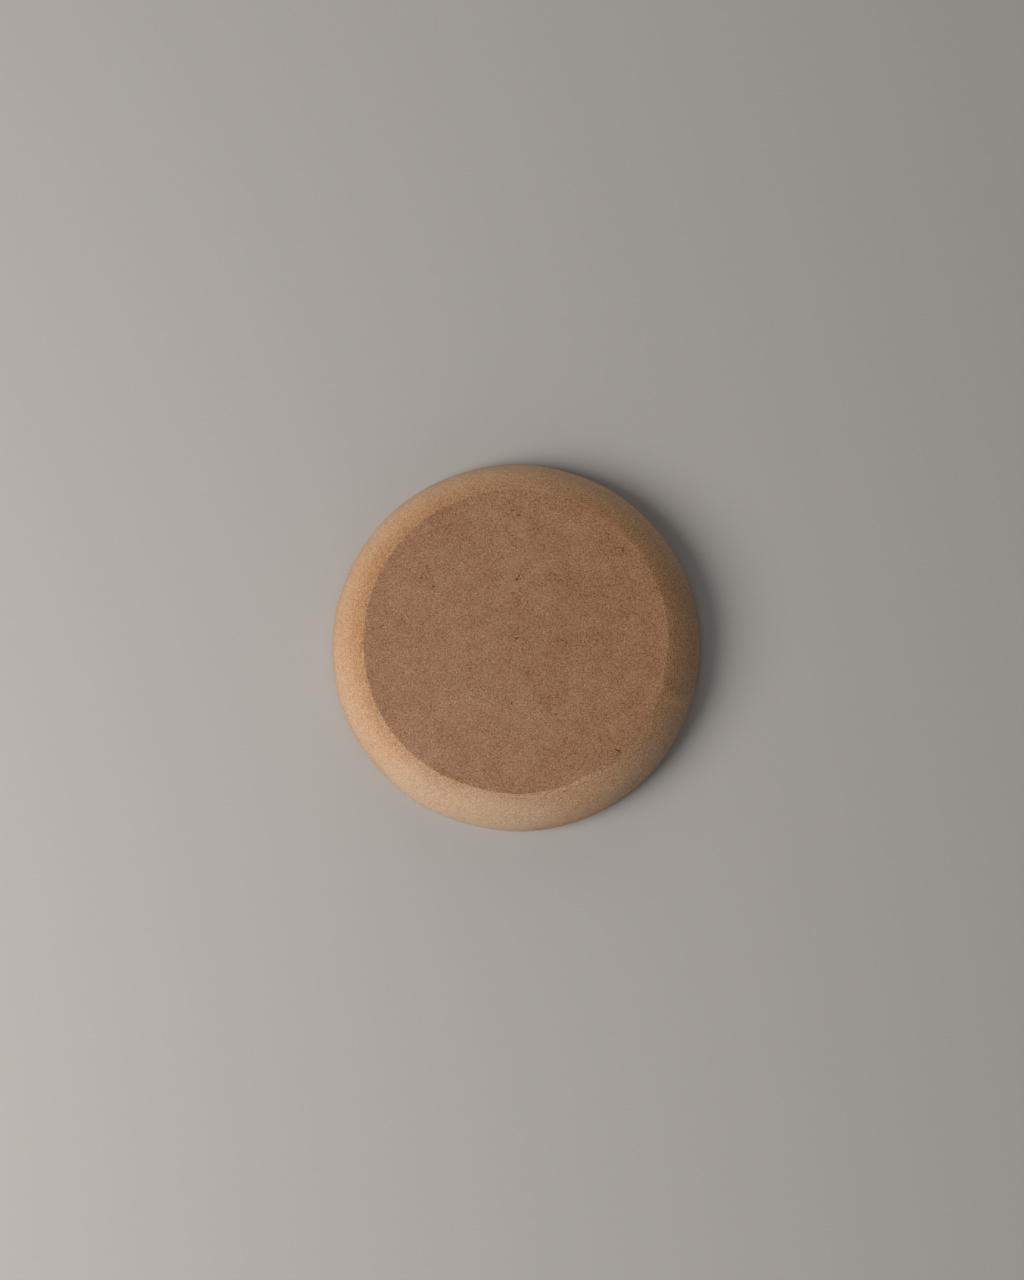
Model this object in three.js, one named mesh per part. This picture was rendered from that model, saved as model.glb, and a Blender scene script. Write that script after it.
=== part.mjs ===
// A round drape mold for pottery: a disc cut from one pressed fibreboard, with its upper edge rounded by a
// router so that a clay slab bends over it. Millimetres, +Z up, origin at the centre of the underside.
//
// The board is pressed in one go from a mat of wood fibre and resin, and comes out in three layers: a dense
// brown face layer on each side, and a lighter, paler core. They are bonded over their whole faces, so each
// layer meets the next one flat, and the router's cut runs across all three as one smooth curve.

import * as THREE from "three";

// Driving dimensions
const BASE_DIAMETER = 127; // the round that the mold is sold as, measured across its foot
const BOARD_THICKNESS = 19.05; // three-quarter inch board
const FACE_LAYER_THICKNESS = 2; // each dense pressed layer, above and below the core
const CUTTER_RADIUS = 19.05; // round-over cutter that shapes the edge
const EDGE_LAND = 1.5; // upright strip at the foot of the edge, where the cutter's bearing ran
const FOOT_CHAMFER = 0.4; // sanding that takes the sharp corner off around the underside

// Fineness of the round surfaces
const FLATS_AROUND = 96;
const ARC_STEP = THREE.MathUtils.degToRad(5); // along the rounded edge

const BASE_RADIUS = BASE_DIAMETER / 2;
const CORE_BOTTOM = FACE_LAYER_THICKNESS;
const CORE_TOP = BOARD_THICKNESS - FACE_LAYER_THICKNESS;

// How far out the edge stands at a height: the sanded chamfer, then the upright land, then a quarter of the
// cutter's circle that turns in from the top of the land. The board's top face cuts that circle off before it
// levels out, which leaves the crease around the working face. A cutter smaller than the height above the
// land would leave an upright shoulder there instead.
function edgeRadius(height) {
  if (height < FOOT_CHAMFER) return BASE_RADIUS - (FOOT_CHAMFER - height);
  if (height <= EDGE_LAND) return BASE_RADIUS;
  const rise = Math.min(height - EDGE_LAND, CUTTER_RADIUS);
  return BASE_RADIUS - CUTTER_RADIUS + Math.sqrt(CUTTER_RADIUS ** 2 - rise ** 2);
}

// The heights at which the edge's outline needs a point, between two faces of a layer.
function outlineHeights(bottom, top) {
  const heights = [FOOT_CHAMFER, EDGE_LAND];
  for (let turn = ARC_STEP; turn <= Math.PI / 2; turn += ARC_STEP) {
    heights.push(EDGE_LAND + CUTTER_RADIUS * Math.sin(turn));
  }
  return [bottom, ...heights.filter((height) => height > bottom && height < top), top];
}

// One layer of the board: its outline, turned about the disc's axis.
function layer(name, bottom, top, material) {
  const outline = [new THREE.Vector2(0, bottom)];
  for (const height of outlineHeights(bottom, top)) {
    outline.push(new THREE.Vector2(edgeRadius(height), height));
  }
  outline.push(new THREE.Vector2(0, top));
  const geometry = new THREE.LatheGeometry(outline, FLATS_AROUND);
  geometry.rotateX(Math.PI / 2);
  const mesh = new THREE.Mesh(geometry, material);
  mesh.name = name;
  return mesh;
}

// Brown, smooth, closely pressed fibre of the two faces.
function faceMaterial() {
  return new THREE.MeshStandardMaterial({ color: 0x8e6a50, roughness: 0.85, metalness: 0 });
}

// Paler, softer fibre of the core, as the cut lays it open.
function coreMaterial() {
  return new THREE.MeshStandardMaterial({ color: 0xac8c6e, roughness: 0.95, metalness: 0 });
}

const drapeMold = new THREE.Group();
drapeMold.name = "drape_mold";
drapeMold.add(layer("bottom_face_layer", 0, CORE_BOTTOM, faceMaterial()));
drapeMold.add(layer("core_layer", CORE_BOTTOM, CORE_TOP, coreMaterial()));
drapeMold.add(layer("top_face_layer", CORE_TOP, BOARD_THICKNESS, faceMaterial()));

export default drapeMold;
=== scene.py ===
# %% [markdown]
# # A pottery drape mold
#
# The object is one round of medium-density fibreboard, 127 mm across and 19 mm thick. Clay slabs are
# draped over it and take its shape. A router has rounded the upper edge, so that the clay bends over it
# without cracking.
#
# There is little to see, so everything is in the detail: the shallow crease around the flat face, the
# brown pressed skin against the paler core, the fibres, and the small unevenness that sanding by hand
# leaves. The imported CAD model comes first, as the fixed frame that all sizes are read from.

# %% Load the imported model
import math

import bpy
import numpy as np
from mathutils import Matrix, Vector


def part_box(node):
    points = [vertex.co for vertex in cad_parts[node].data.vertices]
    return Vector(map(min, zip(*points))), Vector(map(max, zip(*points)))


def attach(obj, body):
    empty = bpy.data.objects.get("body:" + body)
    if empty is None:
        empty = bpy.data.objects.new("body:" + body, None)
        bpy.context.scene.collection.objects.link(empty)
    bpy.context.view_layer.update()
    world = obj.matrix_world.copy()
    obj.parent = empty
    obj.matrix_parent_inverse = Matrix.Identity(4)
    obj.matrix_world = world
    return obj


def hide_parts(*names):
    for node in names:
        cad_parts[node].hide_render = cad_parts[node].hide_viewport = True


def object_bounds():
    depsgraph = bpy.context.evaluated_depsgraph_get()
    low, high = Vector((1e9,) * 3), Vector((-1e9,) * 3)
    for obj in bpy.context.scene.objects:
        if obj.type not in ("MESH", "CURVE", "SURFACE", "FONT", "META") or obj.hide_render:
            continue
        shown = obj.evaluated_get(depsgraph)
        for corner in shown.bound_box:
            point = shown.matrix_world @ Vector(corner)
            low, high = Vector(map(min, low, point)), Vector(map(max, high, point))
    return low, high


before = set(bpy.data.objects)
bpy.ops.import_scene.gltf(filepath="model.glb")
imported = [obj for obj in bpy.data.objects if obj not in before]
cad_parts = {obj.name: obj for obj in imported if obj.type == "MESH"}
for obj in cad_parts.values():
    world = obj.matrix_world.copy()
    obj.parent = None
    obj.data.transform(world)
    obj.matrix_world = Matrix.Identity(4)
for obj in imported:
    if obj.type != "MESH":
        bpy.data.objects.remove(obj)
CAD_LOW, CAD_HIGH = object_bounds()
scene = bpy.context.scene
print("nodes of the packed model:", sorted(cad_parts))

# %% [markdown]
# ## Sizes
#
# Blender works in metres here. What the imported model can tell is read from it: how wide the base is, how
# thick the board is, and where the dense face layers end. The rest is the router's cutter, a common
# round-over of three quarters of an inch, the strip at the foot where the cutter's bearing ran, and the
# small rounding that sanding left below that strip.
#
# A point of the cut is found from its turn on the cutter's circle: zero where the cut meets the upright
# strip, and larger further up.

# %% Sizes of the board and of the cut
MM = 0.001
BOARD_TOP = CAD_HIGH.z
BASE_RADIUS = CAD_HIGH.x
CORE_LOW, CORE_HIGH = (corner.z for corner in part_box("core_layer"))
CUTTER_RADIUS = 19.05 * MM
EDGE_LAND = 1.5 * MM
FOOT_ROUNDING = 0.4 * MM
CUTTER_MIDDLE = BASE_RADIUS - CUTTER_RADIUS


def turn_at(height):
    """The cutter's turn at a height: the arc sine of the height above the land, in cutter radii."""
    return math.asin((height - EDGE_LAND) / CUTTER_RADIUS)


CREASE_TURN = turn_at(BOARD_TOP)
CREASE_RADIUS = CUTTER_MIDDLE + CUTTER_RADIUS * math.cos(CREASE_TURN)
print(f"base {2 * BASE_RADIUS / MM:.1f} mm and face {2 * CREASE_RADIUS / MM:.1f} mm across")
print(f"board {BOARD_TOP / MM:.2f} mm thick, crease at a turn of {math.degrees(CREASE_TURN):.1f} degrees")

# %% [markdown]
# ## Camera
#
# The mold is seen from almost straight above, and the camera leans back a few degrees from the upright. A
# short lens from close by would swell the raised face against the base, so a long lens stands further
# off, which keeps the two circles nearly as they are in plan. The camera looks at a point on the floor
# just beside the mold's middle, which puts the mold a little below the middle of the tall frame.

# %% Put up the camera
LENS = 85
SENSOR = 36
VIEW_HEIGHT = 442.3 * MM
CAMERA_LEAN = math.radians(6.6)
CAMERA_AIM = Vector((-1.52 * MM, 2.58 * MM, 0))
toward_camera = Vector((0, -math.sin(CAMERA_LEAN), math.cos(CAMERA_LEAN)))
camera_data = bpy.data.cameras.new("camera")
camera_data.lens = LENS
camera = bpy.data.objects.new("camera", camera_data)
camera.location = CAMERA_AIM + toward_camera * VIEW_HEIGHT * LENS / SENSOR
camera.rotation_euler = toward_camera.to_track_quat("Z", "Y").to_euler()
scene.collection.objects.link(camera)
scene.camera = camera
print(f"camera {camera.location.length:.2f} m from the mold")

# %% [markdown]
# ## Light
#
# One soft round lamp stands to the left, a little towards the viewer. Two white boards, one beyond the
# mold and one before it, throw a little of its light back, and the room's even grey light fills the rest.
# A sun lamp would give a shadow with the same border everywhere and no fall of light over the floor, so
# disc-shaped area lamps stand for all three.
#
# Each lamp's power is worked out from its share of the light on a level surface. The shares and the
# room's add up to about one, so a colour renders as it is written.

# %% Put up the lamps
LAMPS = [
    # name, direction and height above the floor in degrees, width in metres, share of the light
    ("soft_lamp", 196, 40.5, 0.66, 0.70),
    ("far_board", 95, 20, 0.9, 0.085),
    ("near_board", 270, 20, 0.9, 0.08),
]
LAMP_DISTANCE = 1.0


def put_up_lamp(name, degrees, rise, width, share):
    """A disc lamp aimed at the mold.

    Its power is its share, times pi squared, times the distance squared, over the sine of its height.
    """
    turn = math.radians(degrees)
    height = math.radians(rise)
    level = math.cos(height)
    toward = Vector((math.cos(turn) * level, math.sin(turn) * level, math.sin(height)))
    data = bpy.data.lights.new(name, "AREA")
    data.shape = "DISK"
    data.size = width
    data.energy = share * math.pi ** 2 * LAMP_DISTANCE ** 2 / math.sin(height)
    lamp = bpy.data.objects.new(name, data)
    lamp.location = toward * LAMP_DISTANCE
    lamp.rotation_euler = toward.to_track_quat("Z", "Y").to_euler()
    scene.collection.objects.link(lamp)
    print(f"{name}: {data.energy:.1f} W")


for lamp_values in LAMPS:
    put_up_lamp(*lamp_values)

# %% Light the room
ROOM_LIGHT = 0.14
room = bpy.data.worlds.new("room")
room.use_nodes = True
room_shader = room.node_tree.nodes["Background"]
room_shader.inputs["Color"].default_value = (1, 1, 1, 1)
room_shader.inputs["Strength"].default_value = ROOM_LIGHT
scene.world = room
scene.view_settings.view_transform = "Standard"
print(f"the room gives {ROOM_LIGHT} of the light")

# %% [markdown]
# ## The cut edge as a formula
#
# The router's cut is a quarter of the cutter's circle. It would level out above the board, and the
# board's face cuts it off before that, which makes the crease. A Bevel modifier rounds edges too, but its
# curve always runs on smoothly into the face. Here the circle is known, so its points are computed, in
# rows along the profile from the middle of the face outward and down to the foot.
#
# Every size below is worked out for all points at once, as numpy arrays: rows run along the profile, and
# columns run around the mold.

# %% Directions and rows
STEPS_AROUND = 720
direction = np.linspace(0, 2 * np.pi, STEPS_AROUND, endpoint=False)[None, :]
ALL_AROUND = np.zeros_like(direction)


def cut_rows(first_turn, last_turn, spacing):
    """Even turns from one to another, about a spacing apart along the cut, as one column of rows."""
    count = max(2, round(abs(first_turn - last_turn) * CUTTER_RADIUS / spacing) + 1)
    return np.linspace(first_turn, last_turn, count)


print(f"{STEPS_AROUND} directions, {2 * np.pi * BASE_RADIUS / MM / STEPS_AROUND:.2f} mm apart at the foot")

# %% [markdown]
# ## Sanding by hand
#
# The edge was sanded by hand after the router, so the outline isn't a perfect circle: a few shallow flats
# and slow waves of a few tenths of a millimetre show against the floor. They only take material away.
# Sculpting could make them, but a formula can be read and changed: each flat is a bell curve around its
# direction, and all of them fade towards the crease, where less was sanded.

# %% Bell curves around the mold


def bell(direction, middle, half_width):
    """A bell curve around a direction: the exponential of minus the square of the angle in half widths."""
    apart = (direction - math.radians(middle) + np.pi) % (2 * np.pi) - np.pi
    return np.exp(-((apart / math.radians(half_width)) ** 2))


def bells(direction, curves):
    """The sum of bell curves, in metres, each times its size in mm."""
    return sum(size * MM * bell(direction, middle, width) for middle, width, size in curves)


print(f"a bell curve is {bell(0, 10, 10):.2f} of its size at one half width")

# %% Shallow flats around the edge
SANDED_FLATS = [
    # direction and half width in degrees, depth in mm
    (46, 9, 0.26),
    (72, 7, 0.24),
    (111, 6, 0.20),
    (159, 8, 0.16),
    (224, 9, 0.26),
    (256, 9, 0.30),
    (333, 13, 0.28),
]
SLOW_WAVE = 0.05 * MM
WAVES_AROUND = 5
WAVE_SHIFT = 0.8
SWELLS_AROUND = 2
SPARED_AT_FACE = 0.9


def sanded_away(direction, height):
    """What sanding took off, in metres: the flats' bell curves and a slow wave, less of both higher up.

    The wave is half of one plus a sine with five waves around, which a cosine with two swells fades.
    """
    ripple = np.sin(WAVES_AROUND * direction + WAVE_SHIFT) * np.cos(SWELLS_AROUND * direction)
    wave = SLOW_WAVE * (1 + ripple) / 2
    return (bells(direction, SANDED_FLATS) + wave) * (1 - SPARED_AT_FACE * height / BOARD_TOP)


print(f"deepest sanding {sanded_away(direction, 0).max() / MM:.2f} mm")

# %% [markdown]
# ## The crease
#
# Where the cut meets the flat face there is a crease of about 23 degrees. It is crisp around most of the
# face, a little soft at the far side, and sanded away to a soft slope at the lower right. A smooth
# minimum of two heights, the face's and the cut's, gives all of that with one number, the reach of the
# rounding.
#
# The crease isn't a perfect circle either: by hand, the cut drifts a few tenths of a millimetre in and
# out, and up to 0.9 mm out at one narrow place on the right.

# %% How soft the crease is, and how far it drifts
CRISP_REACH = 0.12 * MM
SOFT_PLACES = [
    # direction and half width in degrees, further reach in mm
    (82, 28, 0.45),
    (318, 20, 1.4),
]
CREASE_DRIFT = [
    # direction and half width in degrees, shift outwards in mm
    (70, 12, -0.35),
    (132, 14, 0.26),
    (184, 11, -0.18),
    (214, 22, 0.28),
    (252, 12, -0.42),
    (277, 13, -0.16),
    (324, 11, -0.52),
    (342, 3, 0.90),
    (349, 11, -0.36),
]


def crease_reach(direction):
    """How far the crease is rounded over, in metres: crisp, and softer by bell curves at two places."""
    return CRISP_REACH + bells(direction, SOFT_PLACES)


def crease_drift(direction, height):
    """How far the cut lies outside the cutter's circle: bell curves times the height's share squared."""
    return bells(direction, CREASE_DRIFT) * np.clip(height / BOARD_TOP, 0, 1) ** 2


least_reach = crease_reach(direction).min()
most_reach = crease_reach(direction).max()
print(f"crease rounded over {least_reach / MM:.2f} to {most_reach / MM:.2f} mm")

# %% Smooth minimum of the face and the cut


def softer_minimum(first, second, reach):
    """The lower of two heights, less the square of their overlap over four times the reach."""
    overlap = np.clip(reach - np.abs(first - second), 0, None)
    return np.minimum(first, second) - overlap ** 2 / (4 * reach)


def cut_surface(turn):
    """Radius and height of the cut: the cutter's circle, less the sanding, under the smooth minimum."""
    turn = np.asarray(turn)[:, None]
    height = EDGE_LAND + CUTTER_RADIUS * np.sin(turn) + ALL_AROUND
    radius = CUTTER_MIDDLE + CUTTER_RADIUS * np.cos(turn) - sanded_away(direction, height)
    radius = radius + crease_drift(direction, height)
    return radius, softer_minimum(height, BOARD_TOP, crease_reach(direction))


lowest_crease = cut_surface([CREASE_TURN])[1].min()
print(f"the rounding lowers the crease by up to {(BOARD_TOP - lowest_crease) / MM:.2f} mm")

# %% [markdown]
# ## Level discs and the foot
#
# The working face, the underside and the two hidden faces between the layers are level discs. One large
# face with many corners would be simpler, but it shades badly along a wavy border. So each disc is a few
# rings, at fixed shares of the ring that it ends on, and follows that border exactly. The foot is the
# short upright strip and a small rounded corner below it.

# %% Discs and the foot
DISC_SHARES = np.array([0.02, 0.2, 0.4, 0.6, 0.75, 0.87, 0.95])
FOOT_TURNS = np.radians([0, -15, -30, -45, -60, -75, -90])
LAND_STEPS = 5


def disc_rings(border_radius, border_height):
    """Rings of a level disc from its middle outward: shares of the border's radius, at its mean height."""
    radius = DISC_SHARES[:, None] * border_radius
    return radius, np.full_like(radius, border_height.mean())


def foot_surface():
    """Radius and height of the foot: the upright land, then a quarter circle of the rounding's radius."""
    land_height = np.linspace(EDGE_LAND, FOOT_ROUNDING, LAND_STEPS)[1:-1, None] + ALL_AROUND
    land_radius = BASE_RADIUS - sanded_away(direction, land_height)
    corner_height = FOOT_ROUNDING * (1 + np.sin(FOOT_TURNS[:, None])) + ALL_AROUND
    corner_radius = BASE_RADIUS - FOOT_ROUNDING * (1 - np.cos(FOOT_TURNS[:, None]))
    corner_radius = corner_radius - sanded_away(direction, corner_height)
    return np.vstack([land_radius, corner_radius]), np.vstack([land_height, corner_height])


print(f"foot has {len(foot_surface()[0])} rows")

# %% [markdown]
# ## From rows to a closed piece
#
# A Screw modifier turns one profile around an axis, but here every direction has a profile of its own. So
# a piece is its rings joined by four-sided faces, with a single point in the middle at each end and
# triangles around it. The rings run from the top middle outward, down and back to the bottom middle, and
# each face is listed so that it points outwards. Faces are smooth, except over edges that turn by more
# than 30 degrees.

# %% Faces between rings and around a middle


def ring_faces(ring_count):
    """Four-sided faces between rings: a point, the one below it, and their neighbours further around."""
    row, column = np.meshgrid(np.arange(ring_count - 1), np.arange(STEPS_AROUND), indexing="ij")
    after = (column + 1) % STEPS_AROUND
    here = row * STEPS_AROUND
    below = here + STEPS_AROUND
    corners = [here + column, below + column, below + after, here + after]
    return np.stack(corners, axis=-1).reshape(-1, 4)


def fan_faces(middle, first_point):
    """Triangles from a middle point to each two neighbours of the ring that starts at a point."""
    around = np.arange(STEPS_AROUND)
    after = (around + 1) % STEPS_AROUND
    return np.stack([np.full_like(around, middle), first_point + around, first_point + after], axis=-1)


print(f"{len(ring_faces(2))} faces between two rings, {len(fan_faces(0, 1))} around a middle")

# %% Build a closed piece
SHARP_TURN = math.radians(30)
TURNED_OVER = [0, 2, 1]


def closed_piece(name, radius, height):
    """A closed surface: ring points are the radius times the cosine and sine of the direction."""
    rings = np.stack([radius * np.cos(direction), radius * np.sin(direction), height], axis=-1)
    rings = rings.reshape(-1, 3)
    middles = [[0, 0, height[0].mean()], [0, 0, height[-1].mean()]]
    points = np.vstack([rings, middles]).tolist()
    quads = ring_faces(len(radius)).tolist()
    fans = fan_faces(len(rings), 0).tolist()
    fans += fan_faces(len(rings) + 1, len(rings) - STEPS_AROUND)[:, TURNED_OVER].tolist()
    mesh = bpy.data.meshes.new(name)
    mesh.from_pydata(points, [], quads + fans)
    mesh.shade_smooth()
    mesh.set_sharp_from_angle(angle=SHARP_TURN)
    piece = bpy.data.objects.new(name, mesh)
    scene.collection.objects.link(piece)
    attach(piece, "root")
    print(f"{name}: {2 * len(quads) + len(fans)} triangles")
    return piece


print(f"edges that turn by over {math.degrees(SHARP_TURN):.0f} degrees stay sharp")

# %% [markdown]
# ## Three layers of one board
#
# The board is pressed in one go, and comes out with a dense brown layer on each side of a paler core. The
# cut runs across all three as one surface, so each layer takes its part of the same rows, and neighbours
# share the ring where they meet. The rows lie close together at the crease, where the surface turns.

# %% Rows of each layer
CREASE_ZONE = math.radians(3)
CREASE_ZONE_ROWS = 25
CROWDING = 0.6
LAST_SOFT_TURN = math.radians(82)
SOFT_SPACING = 0.3 * MM
CUT_SPACING = 0.24 * MM
zone = np.linspace(-1, 1, CREASE_ZONE_ROWS)
crease_rows = CREASE_TURN - CREASE_ZONE * zone * np.abs(zone) ** CROWDING
soft_rows = cut_rows(LAST_SOFT_TURN, crease_rows[0], SOFT_SPACING)
upper_rows = cut_rows(crease_rows[-1], turn_at(CORE_HIGH), CUT_SPACING)
core_rows = cut_rows(turn_at(CORE_HIGH), turn_at(CORE_LOW), CUT_SPACING)
lower_rows = cut_rows(turn_at(CORE_LOW), 0, CUT_SPACING)
top_rows = np.concatenate([soft_rows[:-1], crease_rows, upper_rows[1:]])
print(f"rows: {len(top_rows)} top, {len(core_rows)} core, {len(lower_rows)} bottom")

# %% Profiles of each layer


def stacked(*parts):
    """Joins parts of a profile, each a pair of radius and height rows, into one pair."""
    return np.vstack([radius for radius, height in parts]), np.vstack([height for radius, height in parts])


def inward(part):
    """The same rows from the border to the middle."""
    return part[0][::-1], part[1][::-1]


top_cut = cut_surface(top_rows)
core_cut = cut_surface(core_rows)
bottom_edge = stacked(cut_surface(lower_rows), foot_surface())
upper_seam = disc_rings(core_cut[0][0], core_cut[1][0])
lower_seam = disc_rings(core_cut[0][-1], core_cut[1][-1])
working_face = disc_rings(top_cut[0][0], top_cut[1][0])
underside = disc_rings(bottom_edge[0][-1], bottom_edge[1][-1])
print(f"seams at {lower_seam[1].mean() / MM:.2f} and {upper_seam[1].mean() / MM:.2f} mm")

# %% Build the three layers
top_layer = closed_piece("top_face_board", *stacked(working_face, top_cut, inward(upper_seam)))
core_layer = closed_piece("core_board", *stacked(upper_seam, core_cut, inward(lower_seam)))
bottom_layer = closed_piece("bottom_face_board", *stacked(lower_seam, bottom_edge, inward(underside)))
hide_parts("top_face_layer")
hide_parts("core_layer")
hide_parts("bottom_face_layer")

# %% [markdown]
# ## Writing materials as expressions
#
# A material is a network of nodes, which is hard to read as a list of links. One small class holds a
# node's output and knows arithmetic, so that an expression such as 1 - mask adds the Math node it needs.
# Colours and vectors go through their own nodes, and every other node comes from the one method that adds
# nodes.

# %% A wire that knows arithmetic


class Wire:
    """One output of a node. Arithmetic with wires and plain numbers adds Math nodes to its material."""

    def __init__(self, tree, socket=None):
        self.tree = tree
        self.socket = socket

    def node(self, kind, settings=None, sockets=None, output=0):
        """Adds a node: first its settings, then the values or wires of its sockets. Gives one output."""
        added = self.tree.nodes.new(kind)
        for setting, value in (settings or {}).items():
            setattr(added, setting, value)
        for place, value in (sockets or {}).items():
            if isinstance(value, Wire):
                self.tree.links.new(value.socket, added.inputs[place])
            else:
                added.inputs[place].default_value = value
        return Wire(self.tree, added.outputs[output])

    def output(self, name):
        """Another output of the node that this wire comes from."""
        return Wire(self.tree, self.socket.node.outputs[name])

    def math(self, operation, *values):
        """A Math node of one operation on the values."""
        return self.node("ShaderNodeMath", {"operation": operation}, dict(enumerate(values)))

    def vector(self, operation, *values, output=0):
        """A Vector Math node of one operation on the values."""
        settings = {"operation": operation}
        return self.node("ShaderNodeVectorMath", settings, dict(enumerate(values)), output)

    def __add__(self, other):
        return self.math("ADD", self, other)

    def __radd__(self, other):
        return self.math("ADD", other, self)

    def __sub__(self, other):
        return self.math("SUBTRACT", self, other)

    def __rsub__(self, other):
        return self.math("SUBTRACT", other, self)

    def __mul__(self, other):
        return self.math("MULTIPLY", self, other)

    def __rmul__(self, other):
        return self.math("MULTIPLY", other, self)

    def __truediv__(self, other):
        return self.math("DIVIDE", self, other)

    def __rtruediv__(self, other):
        return self.math("DIVIDE", other, self)


print("wires are ready")

# %% Steps, blends and colours


def rising(value, low, high):
    """Zero below low, one above high, and a smooth step between them."""
    step = {"interpolation_type": "SMOOTHSTEP"}
    return value.node("ShaderNodeMapRange", step, {"Value": value, "From Min": low, "From Max": high})


def blend(share, first, second):
    """A colour that goes from the first to the second as the share goes from zero to one.

    A Mix node has sockets for numbers, vectors and colours. Those for colours are 6 and 7, and output 2.
    """
    return share.node("ShaderNodeMix", {"data_type": "RGBA"}, {0: share, 6: first, 7: second}, output=2)


SCREEN_WHITE = 255
DARK_END = 0.04045
DARK_DIVISOR = 12.92
SCREEN_LIFT = 0.055
SCREEN_POWER = 2.4


def tone(red, green, blue):
    """A colour given as screen values up to 255, in the linear values that shaders use.

    This is the usual screen curve: a straight line for dark values, and a lifted power for the others.
    """
    screen = np.array([red, green, blue]) / SCREEN_WHITE
    curved = ((screen + SCREEN_LIFT) / (1 + SCREEN_LIFT)) ** SCREEN_POWER
    linear = np.where(screen <= DARK_END, screen / DARK_DIVISOR, curved)
    return (*linear.tolist(), 1)


print(f"a screen value of 128 is {tone(128, 128, 128)[0]:.3f} in a shader")

# %% [markdown]
# ## Fibres
#
# Fibreboard is a felt of wood fibres that lie level in the board, in every direction. A photograph of
# board would be the quick way, but it stretches on the curved edge, and a pattern in all three directions
# runs through the board as real fibres do.
#
# A Voronoi pattern scatters them: its cells are wide in the plane of the board and thin through it, and
# each one has a direction of its own. Distances along and across that direction are all that a fibre
# needs. On the sloping cut the same fibres show as dots and short level dashes, because the cut goes
# through the thin cells.

# %% Cells with a direction each
CELL_DEPTH = 0.22
CELL_SHIFT = (1, 0.7, 0.3)
FULL_TURN = 2 * math.pi


def fibre_cells(place, spacing, shift):
    """Distances in mm along and across the direction of the cell around a place, and the cell's chances.

    The cell's random colour is read as three chances. The first, times a full turn, is the direction, and
    the distances are dot products of the offset from the cell's point with it and with its perpendicular.
    """
    squeezed = (1 / spacing, 1 / spacing, 1 / CELL_DEPTH)
    moved = tuple(part * shift for part in CELL_SHIFT)
    crowded = place.vector("MULTIPLY_ADD", place, squeezed, moved)
    cell = {"Vector": crowded, "Scale": 1}
    middle = place.node("ShaderNodeTexVoronoi", {}, cell, output="Position")
    chances = middle.node("ShaderNodeSeparateXYZ", {}, {0: middle.output("Color")})
    offset = place.vector("SUBTRACT", crowded, middle)
    angle = chances * FULL_TURN
    cosine = angle.math("COSINE", angle) * spacing
    sine = angle.math("SINE", angle) * spacing
    lengthwise = place.node("ShaderNodeCombineXYZ", {}, {0: cosine, 1: sine})
    sideways = place.node("ShaderNodeCombineXYZ", {}, {0: sine * -1, 1: cosine})
    along = place.vector("DOT_PRODUCT", offset, lengthwise, output="Value")
    across = place.vector("DOT_PRODUCT", offset, sideways, output="Value")
    return along, across, chances


print(f"fibre cells are {CELL_DEPTH} mm deep")

# %% [markdown]
# Two things are made from the cells. Patches of felt are clouds drawn out along each cell's direction, so
# a cell is full of fine parallel streaks, and three such layers over each other read as felt. Single
# fibres lie on it, one to a cell, each with its own length, bend and shade.

# %% Clouds and felt
CHANCE_SPREAD = 50


def clouds(place, size, detail=1):
    """Soft random clouds about a size across, in mm: a noise less a half, from about -0.5 to 0.5."""
    noise = {"Vector": place, "Scale": 1 / size, "Detail": detail}
    return place.node("ShaderNodeTexNoise", {}, noise) - 0.5


def felt_layer(place, spacing, length, width, shift):
    """Patches of parallel streaks: clouds of size one, at the distances in lengths and in widths.

    The cell's second chance, spread wide, is the third distance, so no two cells show the same clouds.
    """
    along, across, chances = fibre_cells(place, spacing, shift)
    other = chances.output("Y") * CHANCE_SPREAD
    streak = {0: along * (1 / length), 1: across * (1 / width), 2: other}
    return clouds(place.node("ShaderNodeCombineXYZ", {}, streak), size=1)


print("felt is ready")

# %% Single fibres
FIBRE_BEND = 1.2
SOLID_WIDTH = 0.3
SOLID_LENGTH = 0.6


def fibre_layer(place, spacing, length, width, shift):
    """Single fibres, from -1 on a dark one to 1 on a pale one, and 0 between them.

    The distance across the fibre, bent by the square of the distance along it, is compared with the
    width, and the distance along it with half the length. Both fade out past a solid share.
    """
    along, across, chances = fibre_cells(place, spacing, shift)
    build = chances.output("Y")
    bent = across + along * along * (build - 0.5) * (FIBRE_BEND / length)
    reach = (build + 0.5) * (length / 2)
    covered = 1 - rising(bent.math("ABSOLUTE", bent), SOLID_WIDTH * width, width)
    within = 1 - rising(along.math("ABSOLUTE", along), reach * SOLID_LENGTH, reach)
    return covered * within * (chances.output("Z") * 2 - 1)


print("fibres are ready")

# %% [markdown]
# ## Single shives
#
# A shive is a splinter or a sliver of bark that the mill didn't break down. About a dozen show on the
# working face as small dark marks: a few curved hairs, the longest near the crease, and short dashes and
# specks. A random pattern would put them anywhere, so they are placed one by one, and painted in the dark
# brown of bark.

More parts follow.
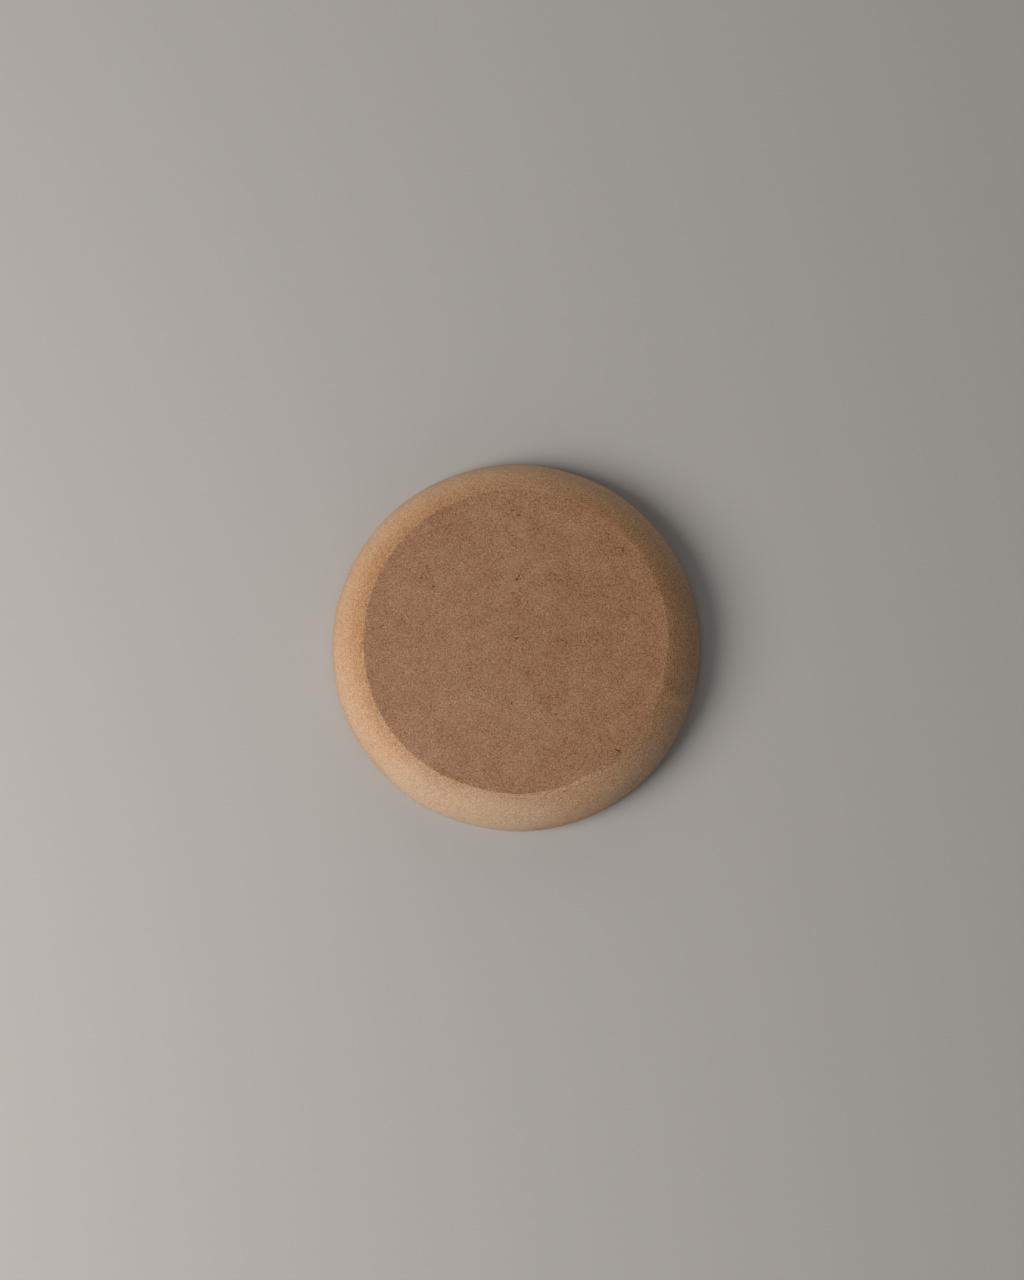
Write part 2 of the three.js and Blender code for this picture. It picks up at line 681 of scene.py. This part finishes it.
# %% Dark shives on the working face
SHIVES = [
    # across and up from the middle, direction in degrees, length, half width and darkness, lengths in mm
    (34.4, -37.3, -31, 3.4, 0.34, 1.0),
    (0.2, 21.1, 22, 1.5, 0.38, 1.0),
    (-32.3, 21.7, 60, 1.0, 0.40, 0.9),
    (-28.3, 18.6, 100, 1.0, 0.40, 0.9),
    (-30.3, 25.8, 20, 1.0, 0.32, 0.8),
    (-1.6, -21.1, 80, 1.1, 0.36, 0.9),
    (-1.2, 44.9, 8, 1.8, 0.32, 0.9),
    (0.9, 43.2, 5, 1.6, 0.34, 1.0),
    (-1.4, 36.2, 0, 0.8, 0.34, 0.9),
    (34.6, 31.9, 10, 4.5, 0.24, 0.7),
    (36.2, 31.1, 75, 2.6, 0.30, 0.75),
    (0.3, 1.0, 35, 2.3, 0.32, 0.9),
    (15.8, 0.2, -25, 2.0, 0.28, 0.8),
    (16.9, -0.5, 80, 1.8, 0.30, 0.8),
]
BARK_TONE = tone(88, 48, 0)
SHIVE_BEND = 0.5
SHIVE_BORDER = (0.3, 1.1)


def shive(place, across, up, degrees, length, width, darkness):
    """One dark mark: its darkness inside a slim, bent oval.

    The oval is the sum of the squares of the distances along and across it, in half lengths and widths.
    """
    turn = math.radians(degrees)
    offset = place.vector("SUBTRACT", place, (across, up, 0))
    lengthwise = (math.cos(turn) * 2 / length, math.sin(turn) * 2 / length, 0)
    sideways = (-math.sin(turn) / width, math.cos(turn) / width, 0)
    along = place.vector("DOT_PRODUCT", offset, lengthwise, output="Value")
    beside = place.vector("DOT_PRODUCT", offset, sideways, output="Value")
    bent = beside + along * along * SHIVE_BEND
    return (1 - rising(along * along + bent * bent, *SHIVE_BORDER)) * darkness


def all_shives(place):
    """The sum of all the marks."""
    marks = 0
    for mark in SHIVES:
        marks = shive(place, *mark) + marks
    return marks


print(f"{len(SHIVES)} shives")

# %% [markdown]
# ## Colour by depth
#
# Pressing cooks the faces of the board more than its middle. The skin is brown, but only about a tenth of
# a millimetre thick. Under it the board is honey-coloured, turns amber within a few millimetres, and is
# palest in the core. The same colours come back in reverse at the foot, where the cut reaches the lower
# face. The upright strip at the foot is browner and darker still.
#
# Three plain colours on the three layers would show hard borders that the real board doesn't have. So
# one material serves all layers, and takes its colour from the depth below the nearer face.

# %% Tones and depths
SKIN_TONE = tone(143, 103, 73)
# Painted light: the skin's lighter tone on the lamp's side, at the left.
PAINTED_LIGHT_SKIN_TONE = tone(150, 111, 83)
HONEY_TONE = tone(161, 118, 81)
AMBER_TONE = tone(175, 135, 99)
CORE_TONE = tone(177, 142, 112)
WASHED_TONE = tone(181, 154, 130)
# Painted shade: the darker, greyer tone of the foot on the shaded lower right.
PAINTED_SHADE_TONE = tone(159, 131, 111)
# The darker brown of the upright strip at the foot.
DARKENED_STRIP_TONE = tone(142, 100, 72)
SKIN_DEPTH = 0.1
AMBER_DEPTH = (-0.6, 4.2)
CORE_DEPTH = (1.5, 8.5)
TOP_MM = BOARD_TOP / MM
LAND_MM = EDGE_LAND / MM
print(f"the skin is {SKIN_DEPTH} mm thick, and the core's tone is reached {CORE_DEPTH[1]} mm down")

# %% [markdown]
# The edge isn't worn the same all around. Its near side is washed paler, where wet clay was wiped off,
# from the crease to the foot, and so, a little, are smaller places at the left, at the lower right and at
# the far side. The foot at the lower right, on the side away from the lamp, has painted shade: it is
# darker and greyer. The honey colour reaches deepest at the left.
#
# At the lower right, where the crease was sanded to a slope, the brown skin thins out slowly and has no
# border, and at the far side its border is a little soft. The face's skin is painted lighter towards the
# left, the side of the lamp: painted light.
#
# Painted masks could hold all that, but each place is only a smooth patch around one direction. So a
# patch is four numbers: its direction, how far off it the patch ends and is full, and its share.

# %% Patches around the mold


def toward(degrees):
    """The level direction of length one at an angle: its cosine and its sine."""
    return math.cos(math.radians(degrees)), math.sin(math.radians(degrees)), 0


def level_direction(place):
    """The direction of a place from the mold's axis: the place, flattened and made one long."""
    return place.vector("NORMALIZE", place.vector("MULTIPLY", place, (1, 1, 0)))


def facing(place, degrees, far, near):
    """How much a place lies towards a direction: a smooth step of the cosine of the angle between."""
    cosine = place.vector("DOT_PRODUCT", level_direction(place), toward(degrees), output="Value")
    return rising(cosine, math.cos(math.radians(far)), math.cos(math.radians(near)))


def shares_around(place, patches):
    """The sum of the patches' shares, each one times how much the place lies towards its direction."""
    total = 0
    for degrees, far, near, share in patches:
        total = facing(place, degrees, far, near) * share + total
    return total


print("patches are ready")

# %% Where the board is worn
CREASE_WASH = [
    # direction, how far off it the wash ends and is full, all in degrees, and its share
    (268, 64, 20, 0.34),
    (199, 24, 8, 0.12),
    (84, 24, 8, 0.08),
]
BODY_WASH = [
    (252, 42, 10, 0.50),
    (203, 16, 6, 0.15),
    (312, 17, 6, 0.15),
]
FOOT_WASH = [
    (252, 30, 8, 0.40),
]
# Painted shade on the foot at the lower right, the side away from the lamp.
FOOT_PAINTED_SHADE = [
    (325, 34, 12, 0.65),
]
DEEP_HONEY = [
    # the same, with the share by which depths are stretched
    (166, 26, 4, 0.35),
]
THINNED_SKIN = [
    # the same, with the further depth in mm over which the skin thins out
    (324, 25, 13, 1.2),
    (84, 42, 16, 0.18),
]
print(f"{len(CREASE_WASH) + len(BODY_WASH) + len(FOOT_WASH)} washed places")

# %% Colour of the open cut
SLOW_CLOUDS = 9
SLOW_CLOUD_SHARE = 0.4
CREASE_WASH_DEPTHS = (0.8, 3)
BODY_WASH_DEPTHS = (0.3, 3)
FOOT_WASH_HEIGHTS = (6, 11)
FOOT_PAINTED_SHADE_HEIGHTS = (5, 15)
LAND_BORDER = (LAND_MM - 0.2, LAND_MM + 0.2)
DARKENED_STRIP_SHARE = 0.6


def sound_colour(even_depth):
    """The colour of sound board at a depth in mm: from honey to amber, and from there to the core."""
    upper = blend(rising(even_depth, *AMBER_DEPTH), HONEY_TONE, AMBER_TONE)
    return blend(rising(even_depth, *CORE_DEPTH), upper, CORE_TONE)


def washed_share(place, height, even_depth):
    """How far the cut is washed: at the crease to a depth, below it, and at the foot up to a height."""
    crease = shares_around(place, CREASE_WASH) * (1 - rising(even_depth, *CREASE_WASH_DEPTHS))
    body = shares_around(place, BODY_WASH) * rising(even_depth, *BODY_WASH_DEPTHS)
    foot = shares_around(place, FOOT_WASH) * (1 - rising(height, *FOOT_WASH_HEIGHTS))
    return crease + body + foot


def cut_colour(place, height, depth):
    """The colour of the open cut: sound board, then the wash, the painted shade of the foot at the lower
    right, and the darker brown strip at the foot.

    Depths are stretched by slow clouds, and most at the left, where the honey colour reaches deepest.
    """
    slow_clouds = clouds(place, SLOW_CLOUDS) * SLOW_CLOUD_SHARE
    even_depth = depth / (slow_clouds + shares_around(place, DEEP_HONEY) + 1)
    washed = blend(washed_share(place, height, even_depth), sound_colour(even_depth), WASHED_TONE)
    # Painted shade: the foot at the lower right is blended towards a darker, greyer tone.
    painted_shade = shares_around(place, FOOT_PAINTED_SHADE) * (1 - rising(height, *FOOT_PAINTED_SHADE_HEIGHTS))
    # The upright strip at the foot is blended towards a darker brown.
    darkened = (1 - rising(height, *LAND_BORDER)) * DARKENED_STRIP_SHARE
    return blend(darkened, blend(painted_shade, washed, PAINTED_SHADE_TONE), DARKENED_STRIP_TONE)


print(f"the burnished strip ends {LAND_MM} mm up")

# %% Skin and cut together
BORDER_CLOUDS = 0.6
BORDER_UNEVENNESS = 0.06
SKIN_FULL = 0.4 * SKIN_DEPTH
SKIN_GONE = 1.4 * SKIN_DEPTH
# Painted light: the skin turns lighter along this direction, towards the lamp's side.
PAINTED_LIGHT_SIDE = 200
PAINTED_LIGHT_SLOPE = 0.0096
PAINTED_LIGHT_MIDDLE = 0.5


def board_colour(place, height):
    """The colour at a place, and how much of it is skin, from the depth below the nearer face.

    The skin's colour goes from brown to a lighter tone in step with the distance towards the lamp's side,
    at the left: painted light.
    """
    nearest = height.math("MINIMUM", TOP_MM - height, height)
    uneven = clouds(place, BORDER_CLOUDS, detail=2) * BORDER_UNEVENNESS
    depth = height.math("MAXIMUM", nearest + uneven, 0)
    thinned = shares_around(place, THINNED_SKIN)
    skin_share = 1 - rising(depth, SKIN_FULL, thinned + SKIN_GONE)
    # Painted light: the skin is lighter towards the lamp's side.
    paler = place.vector("DOT_PRODUCT", place, toward(PAINTED_LIGHT_SIDE), output="Value")
    skin = blend(paler * PAINTED_LIGHT_SLOPE + PAINTED_LIGHT_MIDDLE, SKIN_TONE, PAINTED_LIGHT_SKIN_TONE)
    return blend(skin_share, cut_colour(place, height, depth), skin), skin_share


print(f"the skin is full to {SKIN_FULL:.2f} mm and gone at {SKIN_GONE:.2f} mm")

# %% [markdown]
# ## Texture of the board
#
# The felt of fibres, a fine grain and slow clouds go over the colour. Each is a layer of light and dark
# around zero. The cut shows the slow clouds half as strongly as the skin does, and level streaks join
# them there, because the pressed mat is slightly layered, and the router and the sandpaper ran along the
# edge.

# %% Layers of felt and fibres
FELT_LAYERS = [
    # spacing, length and width in mm
    (1.2, 1.05, 0.25),
    (1.6, 1.4, 0.26),
    (0.9, 0.8, 0.23),
]
FIBRE_LAYERS = [
    # spacing, length and half width in mm, then the strength
    (1.2, 1.5, 0.11, 0.21),
    (1.9, 2.4, 0.11, 0.23),
    (3.1, 3.6, 0.11, 0.23),
]
FELT_SHIFT = 2.3
FIRST_FIBRE_SHIFT = 9
FIBRE_SHIFT = 3.1


def felt_over(place):
    """The sum of the felt layers, the cells of each moved on by one more shift."""
    felt = 0
    for number, (spacing, length, width) in enumerate(FELT_LAYERS):
        felt = felt_layer(place, spacing, length, width, FELT_SHIFT * number) + felt
    return felt


def fibres_over(place):
    """The sum of the fibre layers times their strengths, the cells of each moved on by one more shift."""
    fibres = 0
    for number, (spacing, length, width, strength) in enumerate(FIBRE_LAYERS):
        shift = FIRST_FIBRE_SHIFT + FIBRE_SHIFT * number
        fibres = fibre_layer(place, spacing, length, width, shift) * strength + fibres
    return fibres


print(f"{len(FELT_LAYERS)} layers of felt, {len(FIBRE_LAYERS)} of fibres")

# %% Slow clouds, level streaks and all layers
GRAIN_SIZE = 0.5
MOTTLE = [
    # size in mm and strength
    (4, 0.14),
    (12, 0.23),
]
STREAKS_AROUND = 14
STREAKS_UP = 4
WOBBLE_SCALE = 1.1
WOBBLE = 0.6


def slow_mottle(place):
    """The sum of clouds of two sizes times their strengths."""
    mottle = 0
    for size, strength in MOTTLE:
        mottle = clouds(place, size, detail=2) * strength + mottle
    return mottle


def level_streaks(place):
    """Clouds drawn out around the mold: their place is 14 times the direction, and 4 times the height."""
    upward = place.vector("MULTIPLY", place, (0, 0, STREAKS_UP))
    stretch = (STREAKS_AROUND, STREAKS_AROUND, 0)
    stretched = place.vector("MULTIPLY_ADD", level_direction(place), stretch, upward)
    return clouds(stretched, size=1, detail=2)


def texture_layers(place):
    """All layers by name. Felt and fibres lie on a place that wobbles, so they are never quite straight."""
    noise = {"Vector": place, "Scale": WOBBLE_SCALE, "Detail": 1}
    wobble = place.node("ShaderNodeTexNoise", {}, noise, output="Color")
    loose = place.vector("MULTIPLY_ADD", wobble, (WOBBLE, WOBBLE, 0), place)
    return {
        "felt": felt_over(loose),
        "fibres": fibres_over(loose),
        "grain": clouds(place, GRAIN_SIZE),
        "mottle": slow_mottle(place),
        "streaks": level_streaks(place),
    }


print(f"streaks are about {BASE_RADIUS / MM / STREAKS_AROUND:.1f} mm long and {1 / STREAKS_UP} mm high")

# %% [markdown]
# ## The board's finish
#
# The layers are summed, each times its strength, and the sum times a brownish tint is added to the
# colour. The cut has sums of its own, because its open fibres look different from pressed ones. On the
# right, where the light comes in low, its texture is a quarter stronger.
#
# Raw board has no varnish, so it stays matt: the pressed skin is a little smoother than the cut. A bump
# of a few hundredths of a millimetre catches the light, and the cut's is twice the skin's.

# %% Strengths of the texture
SKIN_TEXTURE = {"felt": 0.5, "fibres": 0.8, "grain": 0.88, "mottle": 1}
CUT_TEXTURE = {"felt": 0.6, "fibres": 0.76, "grain": 0.86, "mottle": 0.5, "streaks": 0.06}
STRONGER_SIDE = [
    # direction, how far off it the texture is plain and strongest, all in degrees, and the share added
    (350, 95, 45, 0.25),
]
FIBRE_TINT = (0.415, 0.312, 0.221)


def mixed(layers, strengths):
    """The sum of the named layers, each times its strength."""
    total = 0
    for name, strength in strengths.items():
        total = layers[name] * strength + total
    return total


def textured(place, colour, layers, skin_share):
    """The colour plus the tint times the texture, which goes from the cut's sum to the skin's."""
    on_skin = mixed(layers, SKIN_TEXTURE)
    on_cut = mixed(layers, CUT_TEXTURE) * (shares_around(place, STRONGER_SIDE) + 1)
    texture = on_cut + (on_skin - on_cut) * skin_share
    tint = place.node("ShaderNodeVectorMath", {"operation": "SCALE"}, {0: FIBRE_TINT, "Scale": texture})
    return colour.vector("ADD", colour, tint)


print(f"{len(SKIN_TEXTURE)} layers on the skin, {len(CUT_TEXTURE)} on the cut")

# %% Bump of the surface
RELIEF = {"fibres": 1, "felt": 0.5, "grain": 0.8}
STREAK_RELIEF = 0.5
BUMP_STRENGTH = 0.5
BUMP_HEIGHT = 0.04 * MM


def surface_bump(layers, open_cut):
    """A Bump node of the fibres, felt and grain, twice as high on the cut, with the streaks there."""
    relief = mixed(layers, RELIEF) * (1 + open_cut) + layers["streaks"] * open_cut * STREAK_RELIEF
    bump = {"Height": relief, "Strength": BUMP_STRENGTH, "Distance": BUMP_HEIGHT}
    return relief.node("ShaderNodeBump", {}, bump)


print(f"the bump is up to {BUMP_HEIGHT / MM} mm high")

# %% Build the finish
CUT_ROUGHNESS = 0.86
SMOOTHER_SKIN = 0.12
FIBRE_ROUGHNESS = 0.1
RAW_SHINE = 0.3
SHIVE_HEIGHTS = (10, 18)


def board_finish(name):
    """One material for all of the board, laid out on Object coordinates in millimetres."""
    material = bpy.data.materials.new(name)
    material.use_nodes = True
    tree = material.node_tree
    shader = tree.nodes["Principled BSDF"]
    metres = Wire(tree).node("ShaderNodeTexCoord", output="Object")
    place = metres.vector("MULTIPLY", metres, (1 / MM, 1 / MM, 1 / MM))
    height = place.node("ShaderNodeSeparateXYZ", {}, {0: place}, output="Z")
    colour, skin_share = board_colour(place, height)
    layers = texture_layers(place)
    marks = all_shives(place) * skin_share * rising(height, *SHIVE_HEIGHTS)
    painted = blend(marks, textured(place, colour, layers, skin_share), BARK_TONE)
    roughness = CUT_ROUGHNESS - skin_share * SMOOTHER_SKIN + layers["fibres"] * FIBRE_ROUGHNESS
    tree.links.new(painted.socket, shader.inputs["Base Color"])
    tree.links.new(roughness.socket, shader.inputs["Roughness"])
    tree.links.new(surface_bump(layers, 1 - skin_share).socket, shader.inputs["Normal"])
    shader.inputs["Specular IOR Level"].default_value = RAW_SHINE
    print(f"{name}: {len(tree.nodes)} nodes")
    return material


face_finish = board_finish("pressed_face")
core_finish = board_finish("cut_core")

# %% Dress the layers
for piece, finish, slot in (
    (top_layer, face_finish, "board_face"),
    (core_layer, core_finish, "board_core"),
    (bottom_layer, face_finish, "board_face"),
):
    piece.data.materials.append(finish)
print("all layers have their finish")

# %% [markdown]
# ## Floor
#
# The mold lies on a plain pale surface. It is a single matt sheet, wide enough that its border never
# shows from above.

# %% Lay the floor
FLOOR_HALF_WIDTH = 3
FLOOR_TONE = tone(170, 165, 160)
FLOOR_ROUGHNESS = 0.9
FLOOR_SHINE = 0.3
CORNER_SIDES = ((-1, -1), (1, -1), (1, 1), (-1, 1))
floor_corners = [(x * FLOOR_HALF_WIDTH, y * FLOOR_HALF_WIDTH, 0) for x, y in CORNER_SIDES]
floor_mesh = bpy.data.meshes.new("floor")
floor_mesh.from_pydata(floor_corners, [], [(0, 1, 2, 3)])
floor = bpy.data.objects.new("floor", floor_mesh)
floor_finish = bpy.data.materials.new("pale_floor")
floor_finish.use_nodes = True
floor_shader = floor_finish.node_tree.nodes["Principled BSDF"]
floor_shader.inputs["Base Color"].default_value = FLOOR_TONE
floor_shader.inputs["Roughness"].default_value = FLOOR_ROUGHNESS
floor_shader.inputs["Specular IOR Level"].default_value = FLOOR_SHINE
floor_mesh.materials.append(floor_finish)
scene.collection.objects.link(floor)
print("floor laid")
